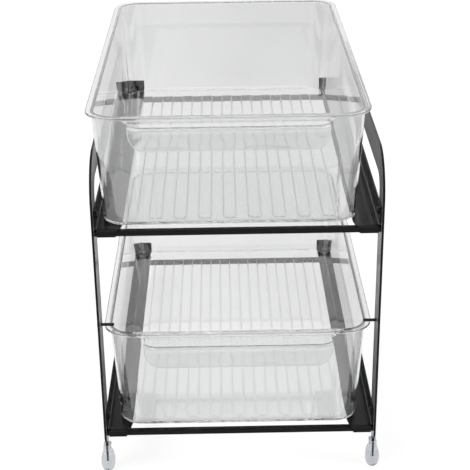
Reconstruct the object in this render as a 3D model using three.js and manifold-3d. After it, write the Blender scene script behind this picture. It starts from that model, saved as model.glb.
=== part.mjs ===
// Two-tier pull-out mug organizer: a black steel strap frame with two clear bins that slide on rails.
// Millimetres, +Z up, +Y to the rear, +X to the right of someone who faces the handles.

import * as THREE from "three";
import { mergeVertices } from "three/addons/utils/BufferGeometryUtils.js";
import Module from "manifold-3d";

const wasm = await Module();
wasm.setup();

// Side frames: flat strap bent into an inverted U
const frameWidth = 250;
const frameDepth = 392;
const archRise = 67.9;
const strapThickness = 2;
const strapWidth = 25;
const archRadius = 40;
const tongueWidth = 9;
const tongueLength = 25;
const tongueEndHeight = 9;
const tongueEndRadius = 2;
const legShoulderRadius = 8;

// Shelf frames: two sheet rails, a front bar and a rear bar on each tier
const shelfFootGap = 13;
const shelfSpacing = 201.6;
const sheetThickness = 1.2;
const bendRadius = 2.5;
const flangeOverlap = 10.7;
const flangeCornerRadius = 8;
const railFrontInset = 1;
const railUpstand = 17;
const stopTabHeight = 13;
const barHeight = 5.5;
const barDepth = 6;
const rearBarSetback = 26;

// Bins: one moulding each, with leaning walls, a lip and a hooded handle
const binHeight = 101;
const binWall = 2;
const binFloorThickness = 2.2;
const wallCornerRadius = 21;
const lipWidth = 5;
const lipThickness = 2;
const rimSideClearance = 3;
const rimFrontOverhang = 3;
const rimRearOverhang = 1;
const sideLean = 5;
const frontLean = 9;
const rearLean = 3;
const handleWidth = 166;
const handleReach = 20;
const handleDrop = 4;
const handleThickness = 2;
const apronHeight = 17.5;
const apronCornerRadius = 14;
const upperBinOffset = -6.5;
const lowerBinOffset = -0.8;

// Pins over the lower bin's lip
const pinDiameter = 2.8;
const pinReach = 11.7;
const pinHeadDiameter = 6;
const pinHeadHeight = 1.4;
const pinLipClearance = 2;

// Screws and nuts where the rails meet the legs
const screwDiameter = 3;
const screwHeadDiameter = 6;
const screwHeadHeight = 1.2;
const screwHeadEdge = 0.4;
const screwEndStand = 0.5;
const screwRise = 10;
const nutAcrossFlats = 5.5;
const nutThickness = 1.8;

// Foot caps
const footHeight = 29;
const footThickness = 13.5;
const footDepth = 16.5;
const footWall = 2.3;
const footSleeveHeight = 5;
const footShoulderHeight = 6;
const footBaseInset = 4;
const footBaseRise = 8;

// Clearances: fixed pieces, a shank in its hole, a cap on its strap, a bin on its rails and at its stops
const seatGap = 0.1;
const holeClearance = 0.2;
const capClearance = 0.2;
const slideGap = 0.3;
const stopGap = 0.4;

// How far a cutter reaches past the face that it cuts
const cutMargin = 1;

// Facets on round stretches
const arcSegments = 8;
const circleSegments = 20;

// Places that several pieces share
const strapInnerFace = frameWidth / 2 - strapThickness;
const strapOuterFace = frameWidth / 2;
const railOuterFace = strapInnerFace - seatGap;
const railInnerFace = railOuterFace - sheetThickness;
const wallTopHalf = strapInnerFace - rimSideClearance - lipWidth;
const binFloorHalf = wallTopHalf - sideLean;
const flangeInnerEdge = binFloorHalf - flangeOverlap;
const flangeTop = barHeight + sheetThickness;
const binFloorLevel = flangeTop + slideGap;
const frontLegCentre = strapWidth / 2;
const rearLegCentre = frameDepth - strapWidth / 2;
const lowerShelfHeight = footHeight + shelfFootGap;
const upperShelfHeight = lowerShelfHeight + shelfSpacing;
const shelfHeights = { lower: lowerShelfHeight, upper: upperShelfHeight };
const frameHeight = upperShelfHeight + archRise;
const barEdgeRadius = bendRadius - sheetThickness + seatGap;
const binOffsets = { lower: lowerBinOffset, upper: upperBinOffset };
const rimFront = -rimFrontOverhang;
const rimRear = frameDepth + rimRearOverhang;
const binFloorRear = rimRear - lipWidth - rearLean;
const railFront = railFrontInset;
const stopFace = binFloorRear + rearLean * (stopTabHeight / binHeight) + stopGap;
const railRear = stopFace + sheetThickness;
const pinHeight = shelfHeights.lower + binFloorLevel + binHeight + pinLipClearance + pinDiameter / 2;
const screwLevel = flangeTop + screwRise;
const handleFront = rimFront - handleReach;
const tongueTop = tongueEndHeight + tongueLength;

// Turns an outline drawn as (Y, Z) and its depth into a solid along +X
const alongX = new THREE.Matrix4().makeBasis(
  new THREE.Vector3(0, 1, 0),
  new THREE.Vector3(0, 0, 1),
  new THREE.Vector3(1, 0, 0),
);

// Turns an outline drawn as (X, Z) and its depth into a solid along -Y
const alongMinusY = new THREE.Matrix4().makeBasis(
  new THREE.Vector3(1, 0, 0),
  new THREE.Vector3(0, 0, 1),
  new THREE.Vector3(0, -1, 0),
);

function prism(outline, depth) {
  return new THREE.ExtrudeGeometry(outline, {
    depth,
    bevelEnabled: false,
    curveSegments: arcSegments,
  });
}

function prismAlongX(outline, fromX, toX) {
  return prism(outline, toX - fromX).applyMatrix4(alongX).translate(fromX, 0, 0);
}

function prismAlongY(outline, fromY, toY) {
  return prism(outline, toY - fromY).applyMatrix4(alongMinusY).translate(0, toY, 0);
}

function block(low, high) {
  const size = high.map((value, axis) => value - low[axis]);
  const centre = high.map((value, axis) => (value + low[axis]) / 2);
  return new THREE.BoxGeometry(...size).translate(...centre);
}

function rodAlongX(radius, fromX, toX, y, z) {
  return new THREE.CylinderGeometry(radius, radius, toX - fromX, circleSegments)
    .rotateZ(-Math.PI / 2)
    .translate((fromX + toX) / 2, y, z);
}

function roundedRectangle(left, bottom, right, top, radius) {
  const outline = new THREE.Shape();
  outline.moveTo(left + radius, bottom);
  outline.lineTo(right - radius, bottom);
  outline.absarc(right - radius, bottom + radius, radius, -Math.PI / 2, 0, false);
  outline.lineTo(right, top - radius);
  outline.absarc(right - radius, top - radius, radius, 0, Math.PI / 2, false);
  outline.lineTo(left + radius, top);
  outline.absarc(left + radius, top - radius, radius, Math.PI / 2, Math.PI, false);
  outline.lineTo(left, bottom + radius);
  outline.absarc(left + radius, bottom + radius, radius, Math.PI, 1.5 * Math.PI, false);
  return outline;
}

function toSolid(geometry) {
  const bare = geometry.clone();
  bare.deleteAttribute("normal");
  bare.deleteAttribute("uv");
  const merged = mergeVertices(bare, 1e-4);
  return new wasm.Manifold(new wasm.Mesh({
    numProp: 3,
    vertProperties: new Float32Array(merged.attributes.position.array),
    triVerts: new Uint32Array(merged.index.array),
  }));
}

function toGeometry(solid) {
  const mesh = solid.getMesh();
  const geometry = new THREE.BufferGeometry();
  geometry.setAttribute("position", new THREE.BufferAttribute(mesh.vertProperties, 3));
  geometry.setIndex(new THREE.BufferAttribute(mesh.triVerts, 1));
  geometry.computeVertexNormals();
  return geometry;
}

function join(...geometries) {
  return toGeometry(geometries.map(toSolid).reduce((sum, next) => sum.add(next)));
}

function cut(geometry, ...cutters) {
  return toGeometry(cutters.map(toSolid).reduce((rest, next) => rest.subtract(next), toSolid(geometry)));
}

function common(first, second) {
  return toGeometry(toSolid(first).intersect(toSolid(second)));
}

// Side frame: the strap seen from the side, each leg ending in rounded shoulders and a narrow tongue
function legEnd(outline, centre) {
  const half = strapWidth / 2;
  const halfTongue = tongueWidth / 2;
  const radius = tongueEndRadius;
  const endLevel = tongueEndHeight + radius;
  const shoulderLevel = tongueTop + legShoulderRadius;
  outline.lineTo(centre - half, shoulderLevel);
  outline.quadraticCurveTo(centre - half, tongueTop, centre - halfTongue, tongueTop);
  outline.lineTo(centre - halfTongue, endLevel);
  outline.absarc(centre - halfTongue + radius, endLevel, radius, Math.PI, 1.5 * Math.PI, false);
  outline.lineTo(centre + halfTongue - radius, tongueEndHeight);
  outline.absarc(centre + halfTongue - radius, endLevel, radius, -Math.PI / 2, 0, false);
  outline.lineTo(centre + halfTongue, tongueTop);
  outline.quadraticCurveTo(centre + half, tongueTop, centre + half, shoulderLevel);
}

function strapOutline() {
  const innerRadius = archRadius - strapWidth;
  const archCentre = frameHeight - archRadius;
  const rearCentre = frameDepth - archRadius;
  const outline = new THREE.Shape();
  outline.moveTo(strapWidth, archCentre);
  outline.absarc(archRadius, archCentre, innerRadius, Math.PI, Math.PI / 2, true);
  outline.lineTo(rearCentre, frameHeight - strapWidth);
  outline.absarc(rearCentre, archCentre, innerRadius, Math.PI / 2, 0, true);
  legEnd(outline, rearLegCentre);
  outline.lineTo(frameDepth, archCentre);
  outline.absarc(rearCentre, archCentre, archRadius, 0, Math.PI / 2, false);
  outline.lineTo(archRadius, frameHeight);
  outline.absarc(archRadius, archCentre, archRadius, Math.PI / 2, Math.PI, false);
  legEnd(outline, frontLegCentre);
  return outline;
}

function roundHole(y, z, diameter) {
  const hole = new THREE.Path();
  hole.absarc(y, z, diameter / 2 + holeClearance, 0, 2 * Math.PI, true);
  return hole;
}

function sideFrame() {
  const outline = strapOutline();
  for (const height of Object.values(shelfHeights)) {
    for (const legCentre of [frontLegCentre, rearLegCentre]) {
      outline.holes.push(roundHole(legCentre, height + screwLevel, screwDiameter));
    }
  }
  outline.holes.push(roundHole(frontLegCentre, pinHeight, pinDiameter));
  return prismAlongX(outline, strapInnerFace, strapOuterFace);
}

// Rail: the flange seen from the side, with its lip bent down in front and its stop tab bent up behind
function flangeOutline() {
  const innerBend = bendRadius - sheetThickness;
  const outline = new THREE.Shape();
  outline.moveTo(railFront, 0);
  outline.lineTo(railFront + sheetThickness, 0);
  outline.lineTo(railFront + sheetThickness, flangeTop - bendRadius);
  outline.absarc(railFront + bendRadius, flangeTop - bendRadius, innerBend, Math.PI, Math.PI / 2, true);
  outline.lineTo(railRear - bendRadius, flangeTop - sheetThickness);
  outline.absarc(railRear - bendRadius, barHeight + bendRadius, bendRadius, -Math.PI / 2, 0, false);
  outline.lineTo(railRear, flangeTop + stopTabHeight);
  outline.lineTo(stopFace, flangeTop + stopTabHeight);
  outline.lineTo(stopFace, barHeight + bendRadius);
  outline.absarc(railRear - bendRadius, barHeight + bendRadius, innerBend, 0, -Math.PI / 2, true);
  outline.lineTo(railFront + bendRadius, flangeTop);
  outline.absarc(railFront + bendRadius, flangeTop - bendRadius, bendRadius, Math.PI / 2, Math.PI, false);
  return outline;
}

function flangeCornerCutter() {
  const radius = flangeCornerRadius;
  const corner = new THREE.Shape();
  corner.moveTo(flangeInnerEdge - cutMargin, railFront - cutMargin);
  corner.lineTo(flangeInnerEdge + radius, railFront - cutMargin);
  corner.lineTo(flangeInnerEdge + radius, railFront);
  corner.absarc(flangeInnerEdge + radius, railFront + radius, radius, -Math.PI / 2, -Math.PI, true);
  corner.lineTo(flangeInnerEdge - cutMargin, railFront + radius);
  return prism(corner, flangeTop + 2 * cutMargin).translate(0, 0, -cutMargin);
}

function rail() {
  const flange = prismAlongX(flangeOutline(), flangeInnerEdge, railOuterFace);
  const upstand = block(
    [railInnerFace, railFront + bendRadius, barHeight],
    [railOuterFace, railRear, flangeTop + railUpstand],
  );
  const screwHoles = [frontLegCentre, rearLegCentre].map((legCentre) => rodAlongX(
    screwDiameter / 2 + holeClearance,
    railInnerFace - cutMargin,
    railOuterFace + cutMargin,
    legCentre,
    screwLevel,
  ));
  return cut(join(flange, upstand), flangeCornerCutter(), ...screwHoles);
}

// Bars: rounded square section, welded under the two flanges
function bar(fromY) {
  const section = roundedRectangle(fromY, 0, fromY + barDepth, barHeight - seatGap, barEdgeRadius);
  return prismAlongX(section, -railOuterFace, railOuterFace);
}

function frontBar() {
  return bar(railFront + sheetThickness + seatGap);
}

function rearBar() {
  return bar(frameDepth - rearBarSetback - barDepth);
}

// Bin: a rounded rectangle whose sides move outwards as it rises
function leaningBlock(inset, bottom, top) {
  const sideSlope = sideLean / binHeight;
  const frontSlope = frontLean / binHeight;
  const rearSlope = rearLean / binHeight;
  const halfWidth = binFloorHalf - inset;
  const front = rimFront + lipWidth + frontLean + inset;
  const rear = binFloorRear - inset;
  const outline = roundedRectangle(-halfWidth, front, halfWidth, rear, wallCornerRadius - inset);
  const geometry = prism(outline, top - bottom).translate(0, 0, bottom);
  const place = geometry.attributes.position;
  const middle = (front + rear) / 2;
  for (let i = 0; i < place.count; i += 1) {
    const rise = place.getZ(i);
    const outwards = place.getY(i) < middle ? -frontSlope : rearSlope;
    place.setX(i, place.getX(i) + Math.sign(place.getX(i)) * sideSlope * rise);
    place.setY(i, place.getY(i) + outwards * rise);
  }
  return geometry;
}

function apronOutline() {
  const half = handleWidth / 2;
  const top = binHeight - handleDrop;
  const bottom = top - apronHeight;
  const radius = apronCornerRadius;
  const outline = new THREE.Shape();
  outline.moveTo(-half, top);
  outline.lineTo(-half, bottom + radius);
  outline.absarc(-half + radius, bottom + radius, radius, Math.PI, 1.5 * Math.PI, false);
  outline.lineTo(half - radius, bottom);
  outline.absarc(half - radius, bottom + radius, radius, -Math.PI / 2, 0, false);
  outline.lineTo(half, top);
  return outline;
}

function bin() {
  const halfRim = strapInnerFace - rimSideClearance;
  const rimOutline = roundedRectangle(-halfRim, rimFront, halfRim, rimRear, wallCornerRadius + lipWidth);
  const lip = prism(rimOutline, lipThickness).translate(0, 0, binHeight - lipThickness);
  const handleTop = binHeight - handleDrop;
  const halfHandle = handleWidth / 2;
  const wallFront = rimFront + lipWidth + binWall;
  const hood = block(
    [-halfHandle, handleFront, handleTop - handleThickness],
    [halfHandle, wallFront, handleTop],
  );
  const web = block(
    [-halfHandle, rimFront, handleTop - handleThickness],
    [halfHandle, wallFront, binHeight - lipThickness / 2],
  );
  const apron = prismAlongY(apronOutline(), handleFront, handleFront + handleThickness);
  const outside = join(leaningBlock(0, 0, binHeight), lip, web, hood, apron);
  return cut(outside, leaningBlock(binWall, binFloorThickness, binHeight + cutMargin));
}

// Pin over the lip, with its head on the outer face of the leg
function pin() {
  const shank = rodAlongX(
    pinDiameter / 2,
    strapInnerFace - pinReach,
    strapOuterFace + pinHeadHeight,
    frontLegCentre,
    pinHeight,
  );
  const head = rodAlongX(
    pinHeadDiameter / 2,
    strapOuterFace + seatGap,
    strapOuterFace + seatGap + pinHeadHeight,
    frontLegCentre,
    pinHeight,
  );
  return join(shank, head);
}

// Screw: a domed head outside the leg and a shank through leg, rail and nut, turned about the X axis
function screw() {
  const headFace = strapOuterFace + seatGap;
  const shankEnd = railInnerFace - seatGap - nutThickness - screwEndStand;
  const shankLength = headFace - shankEnd;
  const profile = new THREE.Path();
  profile.moveTo(0, -shankLength);
  profile.lineTo(screwDiameter / 2, -shankLength);
  profile.lineTo(screwDiameter / 2, 0);
  profile.lineTo(screwHeadDiameter / 2, 0);
  profile.lineTo(screwHeadDiameter / 2, screwHeadEdge);
  profile.quadraticCurveTo(screwHeadDiameter / 3, screwHeadHeight, 0, screwHeadHeight);
  return new THREE.LatheGeometry(profile.getPoints(arcSegments / 2), circleSegments)
    .rotateZ(-Math.PI / 2)
    .translate(headFace, 0, 0);
}

function nut() {
  const corner = nutAcrossFlats / Math.sqrt(3);
  const corners = [0, 1, 2, 3, 4, 5].map((side) => {
    const angle = (side * Math.PI) / 3;
    return new THREE.Vector2(corner * Math.cos(angle), corner * Math.sin(angle));
  });
  const outline = new THREE.Shape(corners);
  outline.holes.push(roundHole(0, 0, screwDiameter));
  const outerFace = railInnerFace - seatGap;
  return prismAlongX(outline, outerFace - nutThickness, outerFace);
}

// Foot cap: a bulb under a sleeve, drawn from the front and from the side, with a slot for the tongue
function footOutline(half, sleeveHalf) {
  const shoulderTop = footHeight - footSleeveHeight;
  const shoulderBottom = shoulderTop - footShoulderHeight;
  const middle = shoulderTop - footShoulderHeight / 2;
  const baseHalf = half - footBaseInset;
  const outline = new THREE.Shape();
  outline.moveTo(-baseHalf, 0);
  outline.lineTo(baseHalf, 0);
  outline.quadraticCurveTo(half, 0, half, footBaseRise);
  outline.lineTo(half, shoulderBottom);
  outline.bezierCurveTo(half, middle, sleeveHalf, middle, sleeveHalf, shoulderTop);
  outline.lineTo(sleeveHalf, footHeight);
  outline.lineTo(-sleeveHalf, footHeight);
  outline.lineTo(-sleeveHalf, shoulderTop);
  outline.bezierCurveTo(-sleeveHalf, middle, -half, middle, -half, shoulderBottom);
  outline.lineTo(-half, footBaseRise);
  outline.quadraticCurveTo(-half, 0, -baseHalf, 0);
  return outline;
}

function footCap() {
  const slotHalfWidth = strapThickness / 2 + capClearance;
  const slotHalfDepth = tongueWidth / 2 + capClearance;
  const slotBottom = tongueEndHeight - capClearance;
  const halfDepth = footDepth / 2;
  const frontOutline = footOutline(footThickness / 2, slotHalfWidth + footWall);
  const sideOutline = footOutline(halfDepth, slotHalfDepth + footWall);
  const frontView = prismAlongY(frontOutline, -halfDepth, halfDepth);
  const sideView = prismAlongX(sideOutline, -halfDepth, halfDepth);
  const slot = block(
    [-slotHalfWidth, -slotHalfDepth, slotBottom],
    [slotHalfWidth, slotHalfDepth, footHeight + cutMargin],
  );
  return cut(common(frontView, sideView), slot);
}

// Finishes
const blackCoat = { color: 0x1d1d1e, roughness: 0.42, metalness: 0.1 };
const blackSteel = { color: 0x161617, roughness: 0.35, metalness: 0.4 };
const clearPlastic = { color: 0xe9eef0, roughness: 0.05, metalness: 0, transparent: true, opacity: 0.35 };
const clearRubber = { color: 0xd3dadd, roughness: 0.25, metalness: 0, transparent: true, opacity: 0.6 };

// Assembly: everything is placed from the front edge of the front legs, then centred on its own depth
const organizer = new THREE.Group();
organizer.position.y = -(handleFront + rimRear) / 2;

function addPiece(name, geometry, finish, x = 0, y = 0, z = 0) {
  const piece = new THREE.Mesh(geometry, new THREE.MeshStandardMaterial(finish));
  piece.name = name;
  piece.position.set(x, y, z);
  organizer.add(piece);
  return piece;
}

const flipSides = new THREE.Matrix4().makeScale(-1, 1, 1);

// The left-hand copy of a piece that is drawn on the right, with its faces still pointing out
function mirrored(geometry) {
  const copy = geometry.index ? geometry.clone() : mergeVertices(geometry.clone());
  copy.applyMatrix4(flipSides);
  const corners = copy.index.array;
  for (let i = 0; i < corners.length; i += 3) {
    [corners[i], corners[i + 1]] = [corners[i + 1], corners[i]];
  }
  copy.computeVertexNormals();
  return copy;
}

const sides = { left: mirrored, right: (geometry) => geometry.clone() };
const legs = { front: frontLegCentre, rear: rearLegCentre };
const strapMiddle = (strapInnerFace + strapOuterFace) / 2;

for (const [side, handed] of Object.entries(sides)) {
  addPiece(`${side}_side_frame`, handed(sideFrame()), blackCoat);
  addPiece(`${side}_lip_pin`, handed(pin()), blackSteel);
  for (const [leg, legCentre] of Object.entries(legs)) {
    const footX = side === "left" ? -strapMiddle : strapMiddle;
    addPiece(`${side}_${leg}_foot_cap`, footCap(), clearRubber, footX, legCentre, 0);
  }
}

for (const [tier, height] of Object.entries(shelfHeights)) {
  addPiece(`${tier}_front_bar`, frontBar(), blackCoat, 0, 0, height);
  addPiece(`${tier}_rear_bar`, rearBar(), blackCoat, 0, 0, height);
  addPiece(`${tier}_bin`, bin(), clearPlastic, binOffsets[tier], 0, height + binFloorLevel);
  for (const [side, handed] of Object.entries(sides)) {
    addPiece(`${tier}_${side}_rail`, handed(rail()), blackCoat, 0, 0, height);
    for (const [leg, legCentre] of Object.entries(legs)) {
      const place = [0, legCentre, height + screwLevel];
      addPiece(`${tier}_${side}_${leg}_screw`, handed(screw()), blackSteel, ...place);
      addPiece(`${tier}_${side}_${leg}_nut`, handed(nut()), blackSteel, ...place);
    }
  }
}

export default organizer;
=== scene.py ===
"""Looks of a two-tier pull-out mug organizer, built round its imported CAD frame.

Every new piece is a surface worked out with numpy in metres, in the frame of the CAD model.
"""

import bpy
import numpy as np
from bpy.props import FloatProperty, FloatVectorProperty, IntProperty, PointerProperty
from mathutils import Matrix, Vector


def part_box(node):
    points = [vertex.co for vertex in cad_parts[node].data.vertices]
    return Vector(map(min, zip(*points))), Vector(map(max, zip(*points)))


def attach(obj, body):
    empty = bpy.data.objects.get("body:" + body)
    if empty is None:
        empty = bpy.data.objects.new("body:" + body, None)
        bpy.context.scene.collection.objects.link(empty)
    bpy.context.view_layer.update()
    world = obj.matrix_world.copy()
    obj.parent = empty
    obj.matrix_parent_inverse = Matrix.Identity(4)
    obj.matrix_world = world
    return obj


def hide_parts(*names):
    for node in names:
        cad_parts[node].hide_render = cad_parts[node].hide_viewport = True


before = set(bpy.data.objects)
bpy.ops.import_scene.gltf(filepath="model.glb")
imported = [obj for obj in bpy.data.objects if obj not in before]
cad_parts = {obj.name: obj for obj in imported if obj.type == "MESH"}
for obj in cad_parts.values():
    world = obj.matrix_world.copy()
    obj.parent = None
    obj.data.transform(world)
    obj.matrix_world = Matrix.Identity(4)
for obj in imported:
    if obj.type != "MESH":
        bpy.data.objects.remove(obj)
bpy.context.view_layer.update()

bl_info = {
    "name": "Mug organizer looks",
    "version": (1, 0, 0),
    "blender": (4, 5, 0),
    "location": "View3D > Sidebar > Organizer",
    "description": "Builds the visible pieces of a two-tier pull-out mug organizer",
    "category": "Object",
}

# Each side with the way that it faces along X
SIDES = {"left": -1.0, "right": 1.0}
TIERS = ("lower", "upper")
ENDS = ("front", "rear")

RIGHT_ANGLE = np.pi / 2
RIM_ANGLES = np.pi * np.array([0.25, 0.5, 0.75])
TURN_STEPS = 72

# Where grid lines lie, as shares of what they divide
STRIP_SLOPE = np.array([-1.0, -0.5, 0.0, 0.5, 1.0])
STRIP_GAP = np.array([0.2, 0.4, 0.6, 0.8])
STRIP_END = np.array([0.13, 0.2, 0.3, 0.42, 0.55, 0.7, 0.85, 1.0])
FLOOR_CORNER = np.array([1.0, 0.93, 0.85, 0.75, 0.65, 0.55, 0.45, 0.35, 0.25, 0.12])
LIP_TOP = (0.05, 0.12, 0.35, 0.65, 0.88, 1.0)
HOOD_COVE = np.array([0.08, 0.2, 0.38, 0.6, 0.8, 1.0])
APRON_CORNER = np.array([0.0, 0.1, 0.2, 0.3, 0.4, 0.5, 0.6, 0.7, 0.8, 0.87, 0.94, 1.0])
RAIL_FLANGE = np.array([0.0, 0.02, 0.1, 0.25, 0.4, 0.55, 0.7, 0.85, 0.96, 1.0])
RAIL_UPSTAND = np.array([0.3, 0.7, 0.97, 1.0])

# Frost along the edges of the clear plastic, and how far it spreads over the hood's bend
STRIP_FROST = 0.8
STRIP_END_FROST = 0.6
RIM_FROST = 0.3
BASE_FROST = 0.5
BEND_FROST = 0.8
BEND_SPREAD = 0.1
APRON_FROST = 0.4

# The strips start lower in front and rise over a stretch. Over the last such stretch, more frost fades in
STRIP_START = 0.85
STRIP_STRETCH = 0.03
STRIP_FADE = 0.02

# Width over which the lip gives way to the hood's root, and steps down to the lip's turn and the hood's cove
ROOT_FADE = 0.0025
LIP_STEP = 0.0001
HOOD_STEP = 0.0005

# Width of the sheet's round rim in halves of its thickness, and where its ends start to curl
RIM_BULGE = 0.9
CURL_START = 0.3

# The apron's wave: a broad one across, and a short one that also changes with the height and slants
WAVE_SHARES = (0.6, 0.4)
WAVE_ACROSS = (0.0125, 0.0062)
WAVE_HEIGHT = 0.0027
WAVE_SLANT = 0.011
WAVE_START = 0.004
WAVE_END = 0.001
WAVE_FADE = 0.005
WAVE_UNDER = 1.2

# Shapes of the fasteners: powers of the domes, and shares of a radius, a height or a depth
SCREW_RINGS = np.concatenate([np.linspace(0.06, 0.62, 16), np.linspace(0.66, 1.0, 8)])[:, None]
SCREW_DOME = 2.4
HEAD_SIDE = 0.4
HEAD_UNDER = 0.97
RECESS_SLOPE = 1.25
RECESS_LEAST = 0.35
THREAD_FADE = 12
NUT_CIRCLE = 0.98
NUT_CHAMFER = 0.55
PIN_RINGS = np.linspace(0.15, 1.0, 7)
PIN_DOME = 2.5
PIN_SIDE = 0.25

# Noise is read over the middle of its range. Gloss and tint change in waves per metre
NOISE_RANGE = (0.3, 0.7)
TINT_PLACES = (0.35, 0.65)
COAT_GLOSS = 34.0
GLOSS_SPREAD = 0.05
GRAIN_STRENGTH = 0.06
GRAIN_DEPTH = 0.0001
CLEAR_TINT = 18.0
CLEAR_GLOSS = 55.0

# Range of roughness of the clear pieces, and the lamps' light that they let through
PLASTIC_ROUGH = (0.010, 0.030)
PLASTIC_LAMP = (0.92, 0.92, 0.92)
RUBBER_ROUGH = (0.08, 0.16)
RUBBER_LAMP = (0.6, 0.62, 0.65)

# Painted shadow and shade on the floor, seen through plastic: the floor loses white under and behind the
# object, over the distance behind the front and across the middle
PAINTED_SHADE_BEHIND = (-0.1, 1.4)
PAINTED_SHADE_PLACES = (0.0, 0.067, 0.18, 0.29, 0.5, 0.8)
PAINTED_SHADE_ACROSS = (-0.12, 0.04)
PAINTED_SHADE_SIDES = (0.75, 1.15)
FLOOR_SHADE = (0.3, 0.3, 0.3, 1.0)
WHITE = (1.0, 1.0, 1.0, 1.0)

# Radii of the stage floor's rings, closer together in the middle
FLOOR_RINGS = np.linspace(0.02, 1.0, 20)[:, None] ** 1.5

# The camera of the photograph: its place in metres, and its pitch, yaw and roll in degrees
CAMERA_PLACE = (-0.01184, -1.15715, 0.68482)
CAMERA_TURN = (24.36, 0.55, -0.72)
SENSOR_WIDTH = 36.0
CAMERA_REACH = 100.0

# Each lamp: its place, its width and whether gloss mirrors it
LAMPS = {
    "key": ((-1.1, -0.9, 1.9), 0.9, True),
    "fill": ((1.5, -0.7, 1.2), 0.7, True),
    "rear": ((0.3, 1.7, 1.6), 1.2, False),
}
LAMP_AIM = (0.0, 0.0, 0.18)


def box_of(node):
    """Lowest and highest corner of a CAD node as two arrays."""
    low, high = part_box(node)
    return np.array(low), np.array(high)


def length(name, description, default):
    """A property for a size in metres."""
    return FloatProperty(
        name=name, description=description, default=default, unit="LENGTH", subtype="DISTANCE", precision=5
    )


def colour(name, description, default):
    """A property for a linear colour."""
    return FloatVectorProperty(
        name=name, description=description, default=default, size=3, subtype="COLOR", min=0.0, max=1.0
    )


def share(name, description, default):
    """A property for a plain number between 0 and 1."""
    return FloatProperty(
        name=name, description=description, default=default, min=0.0, max=1.0, subtype="FACTOR"
    )


def number(name, description, default, **more):
    """A property for a plain number from 0 up."""
    return FloatProperty(name=name, description=description, default=default, min=0.0, **more)


class BinSizes(bpy.types.PropertyGroup):
    """Sizes of one clear bin"""

    wall: length("Wall", "Thickness of the walls", 0.002)
    floor: length("Floor", "Thickness of the floor between the strips", 0.0022)
    lip_width: length("Lip width", "How far the lip stands out from the wall", 0.005)
    lip_thickness: length("Lip thickness", "Thickness of the lip", 0.002)
    lip_round: length("Lip rounding", "Radius of the lip's upper edges", 0.0006)
    lip_lower: length("Lip underside", "Radius of the lip's lower edge, and between lip and wall", 0.0008)
    wall_corner: length("Wall corner", "Outer radius of the upright corners", 0.021)
    side_lean: length("Side lean", "How far each side moves out from floor to rim", 0.005)
    front_lean: length("Front lean", "How far the front moves out from floor to rim", 0.009)
    rear_lean: length("Rear lean", "How far the rear moves out from floor to rim", 0.003)
    side_fillet: length("Side fillet", "Radius inside, between floor and the front and side walls", 0.0004)
    rear_fillet: length("Rear fillet", "Radius inside, between floor and rear wall", 0.0030)
    base_round: length("Base rounding", "Radius outside, under the wall", 0.0007)
    base_line: length("Base line", "How far the floor's frosted edge fades up the outer wall", 0.0008)
    strip_count: IntProperty(name="Strips", description="Raised strips on the floor", default=9, min=1)
    strip_width: length("Strip width", "Width of a strip and of the gap beside it", 0.0108)
    strip_height: length("Strip height", "How far a strip stands above the floor", 0.00027)
    strip_edge: length("Strip edge", "Width of the slope at the edge of a strip", 0.0007)
    strip_front: length("Strip front", "Where the strips begin, along Y", -0.1655)
    strip_rear: length("Strip rear", "Where the strips end, along Y", 0.1740)
    handle_reach: length("Handle reach", "How far the hood stands out from the lip", 0.020)
    handle_width: length("Handle width", "Width of the hood", 0.166)
    handle_drop: length("Handle drop", "From the rim down to the hood", 0.0022)
    handle_thickness: length("Handle thickness", "Thickness of hood and apron", 0.002)
    handle_cove: length("Handle cove", "Radius between the lip and the hood", 0.0009)
    handle_bend: length("Handle bend", "Middle radius between hood and apron", 0.0028)
    handle_root: length("Handle root", "How much wider the hood is at its root, each side", 0.0025)
    apron_height: length("Apron height", "Height of the apron with the hood", 0.0200)
    apron_corner: length("Apron corner", "Radius of the apron's lower corners", 0.014)
    end_curl: length("End curl", "How far the ends of the apron curl back to the wall", 0.006)
    end_width: length("End width", "Width of the curled ends", 0.012)
    apron_wave: length("Apron wave", "Unevenness of the moulded apron", 0.00014)
    # Painted shade and highlight in the plastic's tint: darker lines along the strips' edges, the lower outer
    # edge, under the rim's inner edge and along the outer edges, and a clearer hood
    strip_edge_painted_shade: share("Strip tone", "Part of the tint that is left along the edges of the strips", 0.72)
    base_edge_painted_shade: share("Base tone", "Part of the tint that is left along the lower outer edge", 0.90)
    rim_edge_painted_shade: share("Rim tone", "Part of the tint that is left along the inner edge of the rim", 0.34)
    rim_shade_line: length("Rim line", "Height of the dark line under the inner edge of the rim", 0.0005)
    outer_edge_painted_shade: share("Edge tone", "Part of the tint that is left along the outer edges", 0.62)
    hood_painted_highlight: share("Hood clearness", "How much clearer the hood is than the rest", 0.17)


class StrapSizes(bpy.types.PropertyGroup):
    """Sizes of the steel straps and bars"""

    width: length("Strap width", "Width of the flat strap", 0.025)
    edge: length("Strap edge", "Radius of the coated edges", 0.00025)
    arch: length("Arch radius", "Outer radius of the arch's corners", 0.040)
    tongue_width: length("Tongue width", "Width of the tongue in the foot cap", 0.009)
    tongue_length: length("Tongue length", "Length of the tongue", 0.025)
    tongue_round: length("Tongue end", "Radius of the tongue's end", 0.002)
    shoulder: length("Shoulder", "Size of the round shoulder above the tongue", 0.008)
    bar_edge: length("Bar edge", "Radius of the bar's edges", 0.0014)


class RailSizes(bpy.types.PropertyGroup):
    """Sizes of the folded rails"""

    sheet: length("Sheet", "Thickness of the sheet", 0.0012)
    bend: length("Bend", "Outer radius of the folds", 0.0025)
    corner: length("Corner", "Radius of the flange's inner front corner", 0.008)
    upstand: length("Upstand", "Height of the upstand above the flange", 0.017)
    tab: length("Stop tab", "Height of the stop tab above the flange", 0.013)
    relief: length("Relief", "Gap that parts the upstand from lip and tab", 0.0005)
    rim: length("Rim", "How far the round rim of the sheet stands out", 0.0003)
    # Painted highlight: how pale the front fold is painted, beside the long fold
    front_fold_painted_highlight: share("Front fold", "How pale the front fold is beside the long one", 0.12)


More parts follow.
